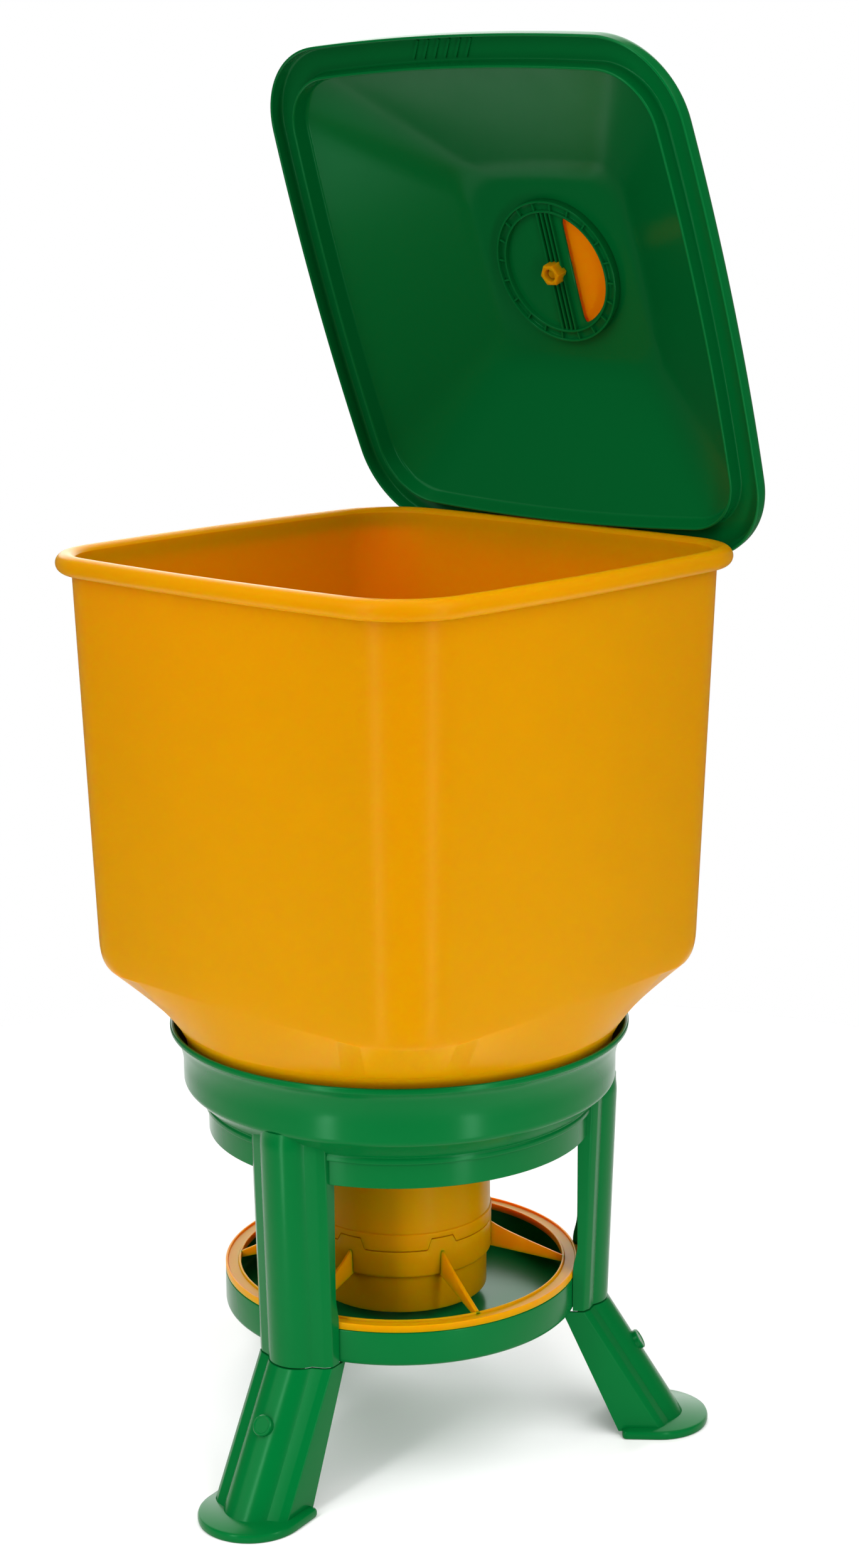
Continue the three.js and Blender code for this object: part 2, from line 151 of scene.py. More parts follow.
def rounded(points, radius, steps=4, closed=True):
    """The line with its corners rounded: each corner b becomes the parabola (1-t)²p + 2t(1-t)b + t²q, whose
    ends p and q lie on the two sides at the radius from b, or at 0.45 of a shorter side."""
    points = np.asarray(points, float)
    before, after = np.roll(points, 1, 0), np.roll(points, -1, 0)
    if not closed:
        before[0], after[-1] = points[0], points[-1]
    reach = np.broadcast_to(np.asarray(radius, float), len(points))[:, None]

    def towards(other):
        """Each corner moved along its side by the reach."""
        span = np.linalg.norm(other - points, axis=1, keepdims=True)
        return points + (other - points) * np.minimum(reach / np.maximum(span, 1e-9), 0.45)

    t = np.linspace(0, 1, steps + 1)[None, :, None]
    start, end = towards(before)[:, None], towards(after)[:, None]
    curve = (1 - t) ** 2 * start + 2 * t * (1 - t) * points[:, None] + t**2 * end
    curve = curve.reshape(-1, points.shape[1])
    return curve if closed else curve[steps:-steps]


def eased(rows, steps, closed=True):
    """A line given as corners, each with the radius that rounds it."""
    corners, radii = zip(*rows)
    return rounded(corners, radii, steps, closed)


def arc(centre, radius, start, stop, steps):
    """Points on a circle about the centre, from one angle to another, in degrees."""
    turn = np.radians(np.linspace(start, stop, steps))
    return np.stack([centre[0] + radius * np.cos(turn), centre[1] + radius * np.sin(turn)], -1)


def square_reach(turn, half, corner):
    """Distance from the axis to a square whose sides bow out by a twentieth of half and whose corners are
    round. A side is a circle of radius s = (half² + bow²) / 2bow whose centre lies back = s - half behind
    the axis. A corner is a circle about (d, d), d = (sqrt(2(s - corner)² - back²) - back) / 2, so it touches
    both sides. The ray meets one or the other, and where corner equals half the outline is a circle."""
    bow = half / 20
    side = (half**2 + bow**2) / (2 * bow)
    back = side - half
    diagonal = (np.sqrt(np.maximum(2 * (side - corner) ** 2 - back**2, 0)) - back) / 2
    off_side = np.abs(np.mod(turn + np.pi / 4, np.pi / 2) - np.pi / 4)
    along = np.arctan2(diagonal, diagonal + back)
    join = np.arctan2(side * np.sin(along), side * np.cos(along) - back)
    on_side = np.sqrt(side**2 - (back * np.sin(off_side)) ** 2) - back * np.cos(off_side)
    off = off_side - np.pi / 4
    far = diagonal * math.sqrt(2)
    on_corner = far * np.cos(off) + np.sqrt(np.maximum(corner**2 - (far * np.sin(off)) ** 2, 0))
    return np.where(off_side <= join, on_side, on_corner)


def squared(rows, columns=256):
    """Stacked rounded squares: row k has half side, corner radius and height rows[k]. Its point in direction
    u + 0.13 sin 4u lies at square_reach, so the points crowd where the corners are."""
    half, corner, height = (rows[:, i : i + 1] for i in range(3))
    even = np.linspace(0, 2 * np.pi, columns, endpoint=False)[None]
    turn = even + 0.13 * np.sin(4 * even)
    reach = square_reach(turn, half, corner)
    return np.stack([reach * np.cos(turn), reach * np.sin(turn), height + 0 * turn], -1)


def turned(rows, columns=180, drop=None):
    """A surface of revolution: row k is a circle of radius rows[k, 0] at height rows[k, 1], lowered at each
    angle by its share rows[k, 2] of drop(angle), where that is given."""
    rows = np.asarray(rows, float)
    turn = np.linspace(0, 2 * np.pi, columns, endpoint=False)[None]
    radius, height = rows[:, :1], rows[:, 1:2] + 0 * turn
    if drop is not None:
        height = height - rows[:, 2:3] * drop(turn)
    return np.stack([radius * np.cos(turn), radius * np.sin(turn), height], -1)


def circle(radius, height):
    """A row of squared that is a circle."""
    return (radius, radius, height)


def slab(front, back):
    """The closed skin of a wall between two grids of the same size: front and back joined edge to edge, and a
    strip across each end."""
    loop = np.concatenate([front, back[:, ::-1]], 1)
    ends = [np.stack([front[k], back[k]]) for k in (0, -1)]
    return [(loop, False, True), (ends[0], False, False), (ends[1], False, False)]


def bar(low, high):
    """A box between two corners, as a slab."""
    (x0, y0, z0), (x1, y1, z1) = low, high
    face = np.array([[(x0, y0), (x1, y0)], [(x0, y1), (x1, y1)]], float)
    lift = np.ones((2, 2, 1))
    return slab(np.concatenate([face, z1 * lift], -1), np.concatenate([face, z0 * lift], -1))


def stacked(outline, rows):
    """A solid of one outline shrunk towards its middle: row k is outline(inset) at a height, for inset,
    height in rows, and both ends close in a point."""
    layers = [np.column_stack([outline(inset), np.full(len(outline(inset)), z)]) for inset, z in rows]
    middle = np.broadcast_to(layers[0].mean(0), layers[0].shape)
    ends = [middle * [1, 1, 0] + [0, 0, rows[k][1]] for k in (0, -1)]
    return np.stack([ends[0], *layers, ends[1]])


def rotated(points, turn):
    """The points turned about the axis by an angle in degrees."""
    c, s = math.cos(math.radians(turn)), math.sin(math.radians(turn))
    return points @ np.array([[c, s, 0], [-s, c, 0], [0, 0, 1]])


def moved(surfaces, change):
    """The surfaces with a change made to their points."""
    return [(change(points), *wraps) for points, *wraps in surfaces]


def spun(surfaces, turn):
    """The surfaces turned about the axis by an angle in degrees."""
    return moved(surfaces, lambda points: rotated(points, turn))


def opened(surfaces):
    """The lid's surfaces turned open about the bead at the back of the rim."""
    hinge = np.array([0, mm("rim_half") - mm("bead_radius"), mm("rim_top") - mm("bead_radius")])
    c, s = math.cos(math.radians(degrees("lid_opening"))), math.sin(math.radians(degrees("lid_opening")))
    turn = np.array([[1, 0, 0], [0, c, -s], [0, s, c]])
    return moved(surfaces, lambda points: (points - hinge) @ turn + hinge)


def smooth(share):
    """The share eased in and out: 3x² - 2x³ between 0 and 1."""
    share = np.clip(share, 0, 1)
    return share * share * (3 - 2 * share)


def grid_faces(rows, columns, wrap_rows, wrap_columns, first):
    """The quads of a grid of points, joined round where it wraps."""
    i = np.arange(rows if wrap_rows else rows - 1)[:, None]
    j = np.arange(columns if wrap_columns else columns - 1)[None]
    below, beside = (i + 1) % rows, (j + 1) % columns
    corners = (i * columns + j, i * columns + beside, below * columns + beside, below * columns + j)
    return first + np.stack(np.broadcast_arrays(*corners), -1).reshape(-1, 4)


def put_piece(name, surfaces, slot, body, node, bevel=0.0):
    """Makes one mesh of closed surfaces (points, wrap rows, wrap columns) in the slot's plastic, rides it on
    a body and lets it stand for a CAD node. Doubled points are merged, faces point out, and edges over 32
    degrees stay sharp."""
    points, faces, first = [], [], 0
    for grid, wrap_rows, wrap_columns in surfaces:
        points.append(grid.reshape(-1, 3))
        faces.append(grid_faces(*grid.shape[:2], wrap_rows, wrap_columns, first))
        first += len(points[-1])
    mesh = bpy.data.meshes.new(name)
    mesh.from_pydata(np.concatenate(points) * MM + AXIS, [], np.concatenate(faces).tolist())
    work = bmesh.new()
    work.from_mesh(mesh)
    bmesh.ops.remove_doubles(work, verts=work.verts, dist=2e-6)
    bmesh.ops.recalc_face_normals(work, faces=work.faces)
    work.to_mesh(mesh)
    work.free()
    mesh.polygons.foreach_set("use_smooth", np.ones(len(mesh.polygons), bool))
    mesh.set_sharp_from_angle(angle=math.radians(32))
    mesh.materials.append(PLASTICS[slot]())
    piece = bpy.data.objects.new(name, mesh)
    bpy.context.scene.collection.objects.link(piece)
    if bevel:
        edge = piece.modifiers.new("Edges", "BEVEL")
        edge.width, edge.segments, edge.limit_method = bevel * MM, 2, "ANGLE"
        edge.harden_normals = True
    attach(piece, body)
    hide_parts(node)


# ---------------------------------------------------------------- materials


def linear(gamma):
    """An sRGB colour as the linear one that shaders take."""
    gamma = np.asarray(gamma, float)
    return tuple(np.where(gamma <= 0.04045, gamma / 12.92, ((gamma + 0.055) / 1.055) ** 2.4)) + (1.0,)


def add_node(tree, kind, settings=None, links=None):
    """Adds a node, sets its sockets or properties by name, and links its sockets to given outputs."""
    node = tree.nodes.new(kind)
    for name, value in (settings or {}).items():
        if name in node.inputs:
            node.inputs[name].default_value = value
        else:
            setattr(node, name, value)
    for name, output in (links or {}).items():
        tree.links.new(output, node.inputs[name])
    return node


def plastic(name, colour, roughness, gloss, tint, glow, ripple):
    """Injection-moulded polypropylene, a waxy satin plastic: an even self colour, a soft highlight, slight
    flow ripple in the walls and, in the light colour, light carried inside the wall. The tint colours its
    highlights."""
    if name in bpy.data.materials:
        return bpy.data.materials[name]
    material = bpy.data.materials.new(name)
    material.use_nodes = True
    tree = material.node_tree
    tree.nodes.clear()
    place = add_node(tree, "ShaderNodeTexCoord").outputs["Object"]
    # flow lines of about 40 mm, and a spark-eroded grain of 0.8 mm drawn at 3 mm so that it shows
    flow = add_node(tree, "ShaderNodeTexNoise", {"Scale": 1 / 0.040, "Detail": 2.0}, {"Vector": place})
    grain = add_node(tree, "ShaderNodeTexNoise", {"Scale": 1 / 0.003, "Detail": 1.0}, {"Vector": place})
    shade = add_node(
        tree,
        "ShaderNodeMix",
        {"data_type": "RGBA", "A": linear(colour), "B": linear(np.asarray(colour) * 0.98)},
        {"Factor": flow.outputs["Fac"]},
    )
    worn = add_node(
        tree,
        "ShaderNodeMapRange",
        {"To Min": roughness - 0.05, "To Max": roughness + 0.05},
        {"Value": flow.outputs["Fac"]},
    )
    dent = add_node(
        tree, "ShaderNodeBump", {"Strength": 1.0, "Distance": ripple * MM}, {"Height": flow.outputs["Fac"]}
    )
    bump = add_node(
        tree,
        "ShaderNodeBump",
        {"Strength": 0.25, "Distance": 0.02 * MM},
        {"Height": grain.outputs["Fac"], "Normal": dent.outputs["Normal"]},
    )
    shader = add_node(
        tree,
        "ShaderNodeBsdfPrincipled",
        {
            "IOR": 1.49,
            "Specular IOR Level": gloss,
            "Specular Tint": linear(hex_colour(tint)),
            "Subsurface Weight": glow,
            "Subsurface Radius": (1.0, 0.25, 0.03),
            "Subsurface Scale": 14 * MM,
        },
        {
            "Base Color": shade.outputs["Result"],
            "Roughness": worn.outputs["Result"],
            "Normal": bump.outputs["Normal"],
        },
    )
    add_node(tree, "ShaderNodeOutputMaterial", links={"Surface": shader.outputs["BSDF"]})
    return material


def yellow_plastic():
    """Egg-yellow polypropylene, as moulded."""
    colours = bpy.context.scene.feeder_colours
    return plastic("moulded_polypropylene_yellow", colours.yellow, 0.32, 0.08, "#FFE690", 1.0, 0.02)


def green_plastic():
    """Leaf-green polypropylene, as moulded."""
    colours = bpy.context.scene.feeder_colours
    return plastic("moulded_polypropylene_green", colours.green, 0.22, 0.14, "#A8FFD2", 0.0, 0.03)


PLASTICS = {"yellow_plastic": yellow_plastic, "green_plastic": green_plastic}


# ---------------------------------------------------------------- hopper and feed tube


def hopper_rows():
    """The hopper's wall as half sides, corner radii and heights, from the outlet up the outside, round the
    bead and down the inside."""
    wall, bead = mm("hopper_wall"), mm("bead_radius")
    bead_half, bead_z = mm("rim_half") - bead, mm("rim_top") - bead
    bead_corner = mm("rim_corner") - bead
    base, base_z = mm("base_radius"), mm("base_height")
    bend, bend_z = mm("bend_half"), mm("bend_height")
    top_half, top_corner = bead_half - 4, bead_corner - 4
    bend_corner = mm("bend_corner")
    spigot, outlet, bore = 66.2, 200, 230
    # the skirt below the round base hangs inside the collar, from its foot past its waist
    foot, waist = 289.5, 312
    rows = [
        (circle(spigot - wall, bore), 0),
        (circle(spigot - wall, outlet), 0.8),
        (circle(spigot, outlet), 0.8),
        (circle(spigot, 250.5), 6),
        (circle(159.2, 324), 3),
        (circle(158.4, waist), 3),
        (circle(156.2, foot), 0.8),
        (circle(159, foot), 0.8),
        (circle(161.4, waist), 3),
        (circle(164.6, 325.5), 3),
        (circle(base, base_z), 3),
        ((bend, bend_corner + 2, bend_z), 16),
        ((top_half, top_corner, bead_z - 10), 0),
    ]
    lower = eased(rows, 6, closed=False)
    turn = np.radians(np.linspace(-115, 150, 26))
    out = bead * np.cos(turn)
    rolled = np.stack([bead_half + out, bead_corner + out, bead_z + bead * np.sin(turn)], -1)
    inside = [
        (rolled[-1], 0.5),
        ((top_half - wall, top_corner - wall, bead_z - 4), 3),
        ((bend - wall, bend_corner, bend_z + 2), 16),
        (circle(base - wall, base_z + 2), 8),
        (circle(spigot - wall, 252), 8),
        (circle(spigot - wall, bore), 1),
    ]
    inner = eased(inside, 6, closed=False)
    return np.concatenate([lower, rolled, inner[1:-1]])


class FEEDER_OT_hopper(bpy.types.Operator):
    """Square hopper with a rolled rim, a round base and a funnel"""

    bl_idname = "feeder.hopper"
    bl_label = "Hopper"

    def execute(self, context):
        walls = [(squared(hopper_rows(), 288), True, True)]
        put_piece("hopper_shell", walls, "yellow_plastic", "hopper", "hopper")
        return {"FINISHED"}


def step_drop(turn):
    """How far the tube's steps hang below the hub's top edge: deep and shallow by turns, each between two
    spokes, with flanks that slope over 2.5 degrees. The drop is the depth times a trapezoid of the angle."""
    place = np.degrees(turn) - degrees("stand_turn") + 90
    number = np.round(place / 60)
    off = np.abs(place - 60 * number)
    depth = np.where(np.mod(number, 2) == 0, 9.0, 6.0)
    return depth * np.clip((22.5 - off) / 2.5, 0, 1)


class FEEDER_OT_feed_tube(bpy.types.Operator):
    """Feed tube whose stepped flange rests on the hub, with a sleeve inside the hub"""

    bl_idname = "feeder.feed_tube"
    bl_label = "Feed tube"

    def execute(self, context):
        hub_top, tube = mm("hub_top"), mm("tube_radius")
        flange = hub_top - 3.6
        bore, sleeve, bell, rest = 64, 66.4, 67, 70.5
        bottom, top = 115.3, 229
        rows = [
            (bore, bottom, 0),
            (sleeve, bottom, 0),
            (sleeve, 160, 0),
            (sleeve, flange, 1),
            (rest, flange, 1),
            (rest, hub_top + 0.2, 0),
            (tube, hub_top + 0.9, 0),
            (tube, top, 0),
            (bell, top, 0),
            (bell, 186, 0),
            (bore, 181, 0),
        ]
        profile = rounded(rows, [0.9, 1, 1, 0.3, 0.5, 0.35, 0.4, 1, 0.9, 2, 2], 3)
        walls = [(turned(profile, 720, step_drop), True, True)]
        put_piece("feed_tube_shell", walls, "yellow_plastic", "feed_tube", "feed_tube")
        return {"FINISHED"}


# ---------------------------------------------------------------- stand


def leg_angles():
    """The direction of each leg, in degrees."""
    turn = degrees("stand_turn")
    return dict(zip(LEG_NAMES, (turn - 120, turn, turn + 120)))


class FEEDER_OT_collar(bpy.types.Operator):
    """Round collar with a flared lip, a sloping shoulder and a narrow ring"""

    bl_idname = "feeder.collar"
    bl_label = "Collar"

    def execute(self, context):
        wide, lip, ring, top = mm("collar_radius"), mm("collar_lip"), mm("ring_radius"), mm("collar_top")
        low, shoulder = 247, 287
        rows = [
            ((ring, low), 1),
            ((ring, 266.2), 0.6),
            ((ring + 2.6, 266.4), 0.9),
            ((ring + 2.6, 270), 1.2),
            ((ring + 1.6, 271.5), 1),
            ((wide, shoulder), 3),
            ((wide, top - 23), 8),
            ((wide + 5, top - 9), 5),
            ((lip - 1.2, top - 5), 1.5),
            ((lip, top - 4), 1),
            ((lip, top), 1.5),
            ((lip - 3, top), 1.5),
            ((wide + 3, top - 9), 5),
            ((wide - SKIN, top - 23), 8),
            ((wide - SKIN, shoulder), 3),
            ((ring - SKIN, 271), 2),
            ((ring - SKIN, low), 1),
        ]
        profile = eased(rows, 5)
        walls = [(turned(profile, 240), True, True)]
        put_piece("collar_shell", walls, "green_plastic", "stand", "collar")
        return {"FINISHED"}


def channel_path(drop):
    """The outline of a leg's channel, as distances behind the crown and sideways places: a side wall, a
    chamfer, a sloping ledge, a round middle flute, and the same mirrored. drop is how far the path lies
    inside the skin."""
    half, flute_half, rise = mm("leg_width") / 2, 19.6, 11.2
    width = flute_half - drop / 2
    radius = (width**2 + rise**2) / (2 * rise)
    spread = math.degrees(math.asin(width / radius))
    flute = arc((-drop - radius, 0), radius, -spread, spread, 25)
    side = np.array([(-30, -half + drop), (-18.9 - drop / 2, -half + drop), (-14.5 - drop, -28.4 + drop / 2)])
    corners = np.concatenate([side, flute[:1]])
    bends = rounded(corners, [0, 1.0, 1.0, 0], 3, closed=False)
    return np.concatenate([bends, flute[1:-1], bends[::-1] * [1, -1]])


def channel_walls(heights, crown, inner):
    """A leg's channel carried up a list of heights: the outline moves out by crown(z), and the edges of the
    side walls follow inner(z)."""
    faces = []
    for drop in (0.0, SKIN):
        path = channel_path(drop)
        x = path[None, :, 0] + crown(heights)[:, None]
        x[:, 0] = x[:, -1] = inner(heights)
        y = np.broadcast_to(path[:, 1], x.shape)
        faces.append(np.stack([x, y, np.broadcast_to(heights[:, None], x.shape)], -1))
    return slab(*faces)


class FEEDER_OT_legs(bpy.types.Operator):
    """Three channel legs that lean out towards the collar"""

    bl_idname = "feeder.legs"
    bl_label = "Legs"

    def execute(self, context):
        bottom, lean = mm("leg_bottom"), 0.0345
        neck, head = 272, 287  # the leg draws in a little where the collar's shoulder covers it
        heights = np.concatenate([np.linspace(bottom, neck, 40), np.linspace(neck + 2, head, 8)])

        def crown(z):
            """The crown's radius grows in a straight line up to the neck, then eases in."""
            return mm("leg_crown") + (z - bottom) * lean - 1.2 * smooth((z - neck) / (head - neck))

        def inner(z):
            """The side walls' edges ease in towards the foot."""
            return 137.3 - 3.3 * smooth((157 - z) / 20)

        walls = channel_walls(heights, crown, inner)
        for name, turn in leg_angles().items():
            turned_walls = spun(walls, turn)
            put_piece(f"leg_{name}_channel", turned_walls, "green_plastic", "stand", f"leg_{name}")
        return {"FINISHED"}


def foot_radius(z):
    """Radius of a foot's crown at a height."""
    return mm("leg_crown") + (mm("leg_bottom") - z) * FOOT_SLOPE


def sole_outline(inset):
    """The foot's flat sole: half a circle at the outside and a straight inner end, moved in by an inset."""
    half, centre, inner = 40 - inset, 201, 173 + inset
    toe = arc((centre, 0), half, -90, 90, 40)
    back = rounded([toe[-1], (inner, half), (inner, -half), toe[0]], [0, 4, 4, 0], 4, closed=False)
    return np.concatenate([toe, back[1:-1]])


class FEEDER_OT_feet(bpy.types.Operator):
    """Three splayed feet with flat soles and a snap pin each"""

    bl_idname = "feeder.feet"
    bl_label = "Feet"

    def execute(self, context):
        heights = np.linspace(4, mm("leg_bottom") - 1.2, 40)
        shaft = channel_walls(heights, foot_radius, lambda z: 172 - 46 * z / 103.3)
        rim = [(1.6, 0), (0.4, 0.6), (0, 2), (0, 4.5), (0.7, 6.2), (2.4, 7)]
        sole = [(stacked(sole_outline, rim), False, True)]
        tongue = bar((148.5, -12, 82), (154, 12, 125))
        slope = math.atan(FOOT_SLOPE)
        centre = np.array([foot_radius(66), 0, 66])
        rise, run = math.sin(slope), math.cos(slope)
        tilt = np.array([[-rise, 0, run], [0, 1, 0], [run, 0, rise]])
        edge = [(0, 3.0), (5.6, 3.0), (6.2, 3.4), (7.2, 3.3), (7.8, 2.6), (7.8, -5), (0, -5)]
        stud = turned(edge, 48) @ tilt + centre
        for name, turn in leg_angles().items():
            walls = spun(shaft + sole + tongue, turn)
            pin = [(rotated(stud, turn), False, True)]
            put_piece(f"foot_{name}_moulding", walls, "green_plastic", "stand", f"foot_{name}")
            put_piece(f"snap_pin_{name}", pin, "green_plastic", "stand", f"foot_pin_{name}")
        return {"FINISHED"}


class FEEDER_OT_pan(bpy.types.Operator):
    """Round feed pan with a spreading cone, held to the legs by lugs"""

    bl_idname = "feeder.pan"
    bl_label = "Feed pan"

    def execute(self, context):
        out, low, top = mm("pan_radius"), mm("pan_bottom"), mm("pan_top")
        floor = low + 2.6
        rows = [
            ((0, low), 0),
            ((out, low), 4),
            ((out, top), 0.8),
            ((out - 2.6, top), 0.8),
            ((out - 2.6, floor), 5),
            ((60, floor), 10),
            ((8, floor + 27), 5),
            ((0, floor + 27), 0),
        ]
        profile = eased(rows, 5, closed=False)
        parts = [(turned(profile, 240), False, True)]
        for turn in leg_angles().values():
            lug = bar((out - 2, -20, 110), (143.5, 20, 127))
            parts += spun(lug, turn)
        put_piece("feed_pan_dish", parts, "green_plastic", "stand", "feed_pan")
        return {"FINISHED"}


class FEEDER_OT_grid(bpy.types.Operator):
    """Anti-waste grid: a ring with raised lips, six spokes and a hub with a stepped top"""

    bl_idname = "feeder.grid"
    bl_label = "Anti-waste grid"

    def execute(self, context):
        hub, top = mm("hub_radius"), mm("hub_top")
        inner, outer, under, deck, lip = 125.5, 137.4, 130.8, 134.7, 136.2
        ring = [
            (inner, under),
            (outer, under),
            (outer, lip),
            (outer - 1.7, lip),
            (outer - 2.1, deck),
            (inner + 2.1, deck),
            (inner + 1.7, lip),
            (inner, lip),
        ]
        bore, foot, waist = 67, 144.5, 160
        hub_rows = [
            (bore, foot, 0),
            (hub - 1.2, foot, 0),
            (hub, foot + 1.5, 0),
            (hub + 0.2, waist, 0),
            (hub + 0.2, top - 4.5, 1),
            (bore, top - 4.5, 1),
            (bore, waist, 0),
        ]
        parts = [
            (turned(rounded(ring, 0.6, 3), 240), True, True),
            (turned(rounded(hub_rows, [0.5, 1, 1.2, 1, 0.5, 0.4, 1], 3), 720, step_drop), True, True),
        ]
        share = np.linspace(0, 1, 12)
        along = hub - 1 + share * (128.5 - hub)
        high = 162 - 26.5 * share + 2.5 * (1 - share) ** 6
        low = 145 - 13.6 * share
        # the web's section is a thin wedge with a rounded top edge
        section = np.array([(-1.9, 0), (-1.6, 0.9), (-0.9, 1), (0.9, 1), (1.6, 0.9), (1.9, 0)])
        y = np.broadcast_to(section[:, 0], (12, 6))
        z = low[:, None] + section[None, :, 1] * (high - low)[:, None]
        x = np.broadcast_to(along[:, None], (12, 6))
        face = np.stack([x, y, z], -1)
        base = np.stack([x, y, np.broadcast_to(low[:, None] - 0.4, (12, 6))], -1)
        web = slab(face, base)
        tab = bar((135.5, -25.3, under), (143.5, 25.3, deck))
        for k in range(6):
            turn = degrees("stand_turn") + 60 * k
            parts += spun(web, turn)
        for turn in leg_angles().values():
            parts += spun(tab, turn)
        put_piece("anti_waste_grid_ring", parts, "yellow_plastic", "stand", "anti_waste_grid")
        return {"FINISHED"}


# ---------------------------------------------------------------- lid and vent


def lid_rows():
    """The lid's wall as half sides, corner radii and heights, a closed loop: the hollow's roof, the dropped
    lip, the channel, the skirt and back over the top."""
    half, corner, top = mm("lid_half"), mm("lid_corner"), mm("plateau_height")
    roof, under, hole = mm("rim_top") + 2, top - SKIN, 52.6
    skirt = mm("rim_top") - 8.2
    lip, low, inner = 183.6, mm("rim_top") - 9.5, 49
    rows = [
        (circle(hole, under), 0.6),
        ((80, 28, under), 14),
        ((lip - SKIN - 1.5, inner - SKIN, roof + 1.5), 2),
        ((lip - SKIN, inner - SKIN, low + 0.6), 1.0),
        ((lip - SKIN / 2, inner - SKIN / 2, low - 0.2), 0.8),
        ((lip, inner, low + 0.6), 1.0),
        ((lip + 0.6, inner + 0.6, roof), 2.5),
        ((half - SKIN - 1, corner - SKIN - 1, roof), 3),
        ((half - SKIN, corner - SKIN, roof - 8), 2),
        ((half - SKIN, corner - SKIN, skirt + 0.6), 0.8),
        ((half - SKIN / 2, corner - SKIN / 2, skirt - 0.2), 0.6),
        ((half, corner, skirt + 0.6), 0.8),
        ((half, corner, roof - 1), 4),
        ((half - 4, corner - 4, roof + SKIN + 0.6), 4),
        ((lip + 3, inner + 2, roof + SKIN + 1.6), 5),
        ((82, 32, top), 14),
        (circle(hole, top), 0.6),
    ]
    return eased(rows, 6)


class FEEDER_OT_lid(bpy.types.Operator):
    """Square hipped lid with a skirt, a dropped inner lip and grip ribs"""

    bl_idname = "feeder.lid"
    bl_label = "Lid"

    def execute(self, context):
        roof = mm("rim_top") + 2
        parts = [(squared(lid_rows(), 320), True, True)]
        rib = spun(bar((-1, -8, 0), (1, 8, 1.8)), 32)
        for x in np.linspace(-38, 14, 6):
            # the ribs follow the bow of the channel between the lip and the skirt
            place = [x, 12 - mm("lid_half") + x * x / 4000, roof - 1.4]
            parts += moved(rib, lambda points, place=place: points + place)
        put_piece("lid_shell", opened(parts), "green_plastic", "lid", "lid")
        return {"FINISHED"}


def half_moon(radius, edge, steps=96):
    """The part of a disc beyond a straight edge, as seen from a point inside it: in each direction the reach
    is the smooth minimum (a^-12 + b^-12)^(-1/12) of the reach a to the circle and b to the edge."""
    centre = (radius + edge) / 2
    turn = np.linspace(0, 2 * np.pi, steps, endpoint=False)
    to_circle = -centre * np.cos(turn) + np.sqrt(radius**2 - (centre * np.sin(turn)) ** 2)
    to_edge = (centre - edge) / np.maximum(-np.cos(turn), 1e-3)
    reach = (to_circle**-12.0 + to_edge**-12.0) ** (-1 / 12)
    return np.stack([centre + reach * np.cos(turn), reach * np.sin(turn)], -1)


def pierced(disc_radius, window_radius, edge, low, high, steps=96):
    """A round plate with a half-moon window: a ring whose rows run from the disc's rim to the window along
    rays from the window's own centre."""
    centre = (window_radius + edge) / 2
    turn = np.linspace(0, 2 * np.pi, steps, endpoint=False)
    reach = -centre * np.cos(turn) + np.sqrt(disc_radius**2 - (centre * np.sin(turn)) ** 2)
    rim = np.stack([centre + reach * np.cos(turn), reach * np.sin(turn)], -1)
    hole = half_moon(window_radius, edge, steps)
    soft = 0.4
    inward = (hole - [centre, 0]) / np.linalg.norm(hole - [centre, 0], axis=1, keepdims=True)
    rows = [
        (rim, low),
        (hole + inward * soft, low),
        (hole, low + soft),
        (hole, high - soft),
        (hole + inward * soft, high),
        (rim, high),
    ]
    return np.stack([np.column_stack([line, np.full(steps, z)]) for line, z in rows])


class FEEDER_OT_vent_disc(bpy.types.Operator):
    """Vent disc under the lid: a double ring with radial ribs, a half-moon window and a railed channel"""

    bl_idname = "feeder.vent_disc"
    bl_label = "Vent disc"

    def execute(self, context):
        radius = mm("vent_radius")
        flange = mm("plateau_height") - SKIN - 0.4
        low = flange - 6
        # two thin walls hang from the flange, and a rim above it fits the lid's hole
        plate, wall, fit = 48, 1.8, 52.2
        rows = [
            (plate, flange - 2),
            (plate, low),
            (plate + wall, low),
            (plate + wall, flange - 2.6),
            (radius - wall, flange - 2.6),
            (radius - wall, low),
            (radius, low),
            (radius, flange),
            (fit, flange),
            (fit, flange + 2),
            (plate, flange + 2),
        ]
        parts = [
            (turned(rounded(rows, 0.5, 3), 180), True, True),
            (pierced(48.4, 46, 14, flange - 2, flange), True, True),
        ]
        for turn in np.arange(20) * 18 + 9:
            rib = bar((49, -0.7, low + 0.8), (radius - 1, 0.7, flange - 2))
            parts += spun(rib, turn)
        for x in (-6.4, -2.2, 2.2, 6.4):
            reach = math.sqrt(48.4**2 - x**2)
            parts += bar((x - 0.8, -reach, flange - 5), (x + 0.8, reach, flange - 1.5))
        put_piece("vent_disc_moulding", opened(parts), "green_plastic", "lid", "vent_disc")
        return {"FINISHED"}


